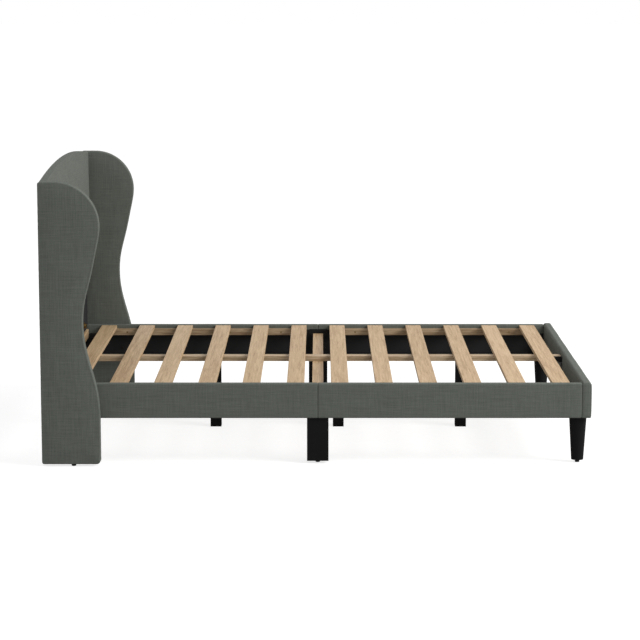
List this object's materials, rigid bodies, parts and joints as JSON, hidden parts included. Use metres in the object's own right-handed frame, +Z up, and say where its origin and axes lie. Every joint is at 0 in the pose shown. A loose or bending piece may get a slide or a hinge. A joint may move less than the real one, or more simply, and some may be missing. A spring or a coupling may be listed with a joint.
{
  "type": "wingback bed",
  "caption": "Upholstered wingback platform bed with an arched headboard, curved side wings, wooden slats on ledgers and a centre beam, black legs and screw-in glides.",
  "frame": {"origin": "middle of the bed's length and width, on the floor", "axes": "+X from the head to the foot, +Y to the left as seen from the pillow, +Z up"},
  "size_m": [2.13, 1.65, 1.1425],
  "materials": {
    "upholstery": "woven linen look",
    "foam": "open-cell foam",
    "lining": "non-woven lining",
    "frame_board": "raw plywood",
    "slat_wood": "sanded light wood",
    "leg_black": "satin black paint",
    "bracket_black": "powder coat",
    "bolt_brass": "aged",
    "bolt_steel": "zinc plated",
    "glide_black": "moulded"
  },
  "bodies": {
    "bed_frame": {"headboard_cover": "upholstery", "right_wing_cover": "upholstery", "left_wing_cover": "upholstery", "foot_rail_cover": "upholstery", "right_rail_cover_head": "upholstery", "right_rail_cover_foot": "upholstery", "left_rail_cover_head": "upholstery", "left_rail_cover_foot": "upholstery", "headboard_foam": "foam", "headboard_back_lining": "lining", "headboard_front_lining": "lining", "rail_linings": "lining", "headboard_backboard": "frame_board", "foot_rail_board": "frame_board", "right_wing_frame": "frame_board", "left_wing_frame": "frame_board", "right_rail_board_head": "frame_board", "right_rail_board_foot": "frame_board", "left_rail_board_head": "frame_board", "left_rail_board_foot": "frame_board", "slat_1": "slat_wood", "slat_2": "slat_wood", "slat_3": "slat_wood", "slat_4": "slat_wood", "slat_5": "slat_wood", "slat_6": "slat_wood", "slat_7": "slat_wood", "slat_8": "slat_wood", "slat_9": "slat_wood", "slat_10": "slat_wood", "slat_11": "slat_wood", "slat_12": "slat_wood", "headboard_cleat": "slat_wood", "headboard_dowels": "slat_wood", "right_ledgers": "slat_wood", "left_ledgers": "slat_wood", "cross_plank": "slat_wood", "centre_beam_head": "slat_wood", "centre_beam_foot": "slat_wood", "right_mid_leg": "leg_black", "right_foot_leg": "leg_black", "left_mid_leg": "leg_black", "left_foot_leg": "leg_black", "centre_legs": "leg_black", "beam_hangers": "bracket_black", "rail_joint_plates": "bracket_black", "mid_brackets": "bracket_black", "corner_brackets": "bracket_black", "headboard_bolts": "bolt_brass", "frame_bolts": "bolt_steel", "wood_screws": "bolt_steel", "glide_inserts": "bolt_steel"},
    "right_wing_glide_body": {"right_wing_glide": "glide_black"},
    "right_mid_glide_body": {"right_mid_glide": "glide_black"},
    "right_foot_glide_body": {"right_foot_glide": "glide_black"},
    "left_wing_glide_body": {"left_wing_glide": "glide_black"},
    "left_mid_glide_body": {"left_mid_glide": "glide_black"},
    "left_foot_glide_body": {"left_foot_glide": "glide_black"}
  },
  "joints": [
    {"name": "right_wing_glide_screw", "type": "slide", "parent": "bed_frame", "child": "right_wing_glide_body", "axis": [0, 0, -1], "range_m": [0, 0.008]},
    {"name": "right_mid_glide_screw", "type": "slide", "parent": "bed_frame", "child": "right_mid_glide_body", "axis": [0, 0, -1], "range_m": [0, 0.008]},
    {"name": "right_foot_glide_screw", "type": "slide", "parent": "bed_frame", "child": "right_foot_glide_body", "axis": [0, 0, -1], "range_m": [0, 0.008]},
    {"name": "left_wing_glide_screw", "type": "slide", "parent": "bed_frame", "child": "left_wing_glide_body", "axis": [0, 0, -1], "range_m": [0, 0.008]},
    {"name": "left_mid_glide_screw", "type": "slide", "parent": "bed_frame", "child": "left_mid_glide_body", "axis": [0, 0, -1], "range_m": [0, 0.008]},
    {"name": "left_foot_glide_screw", "type": "slide", "parent": "bed_frame", "child": "left_foot_glide_body", "axis": [0, 0, -1], "range_m": [0, 0.008]}
  ]
}
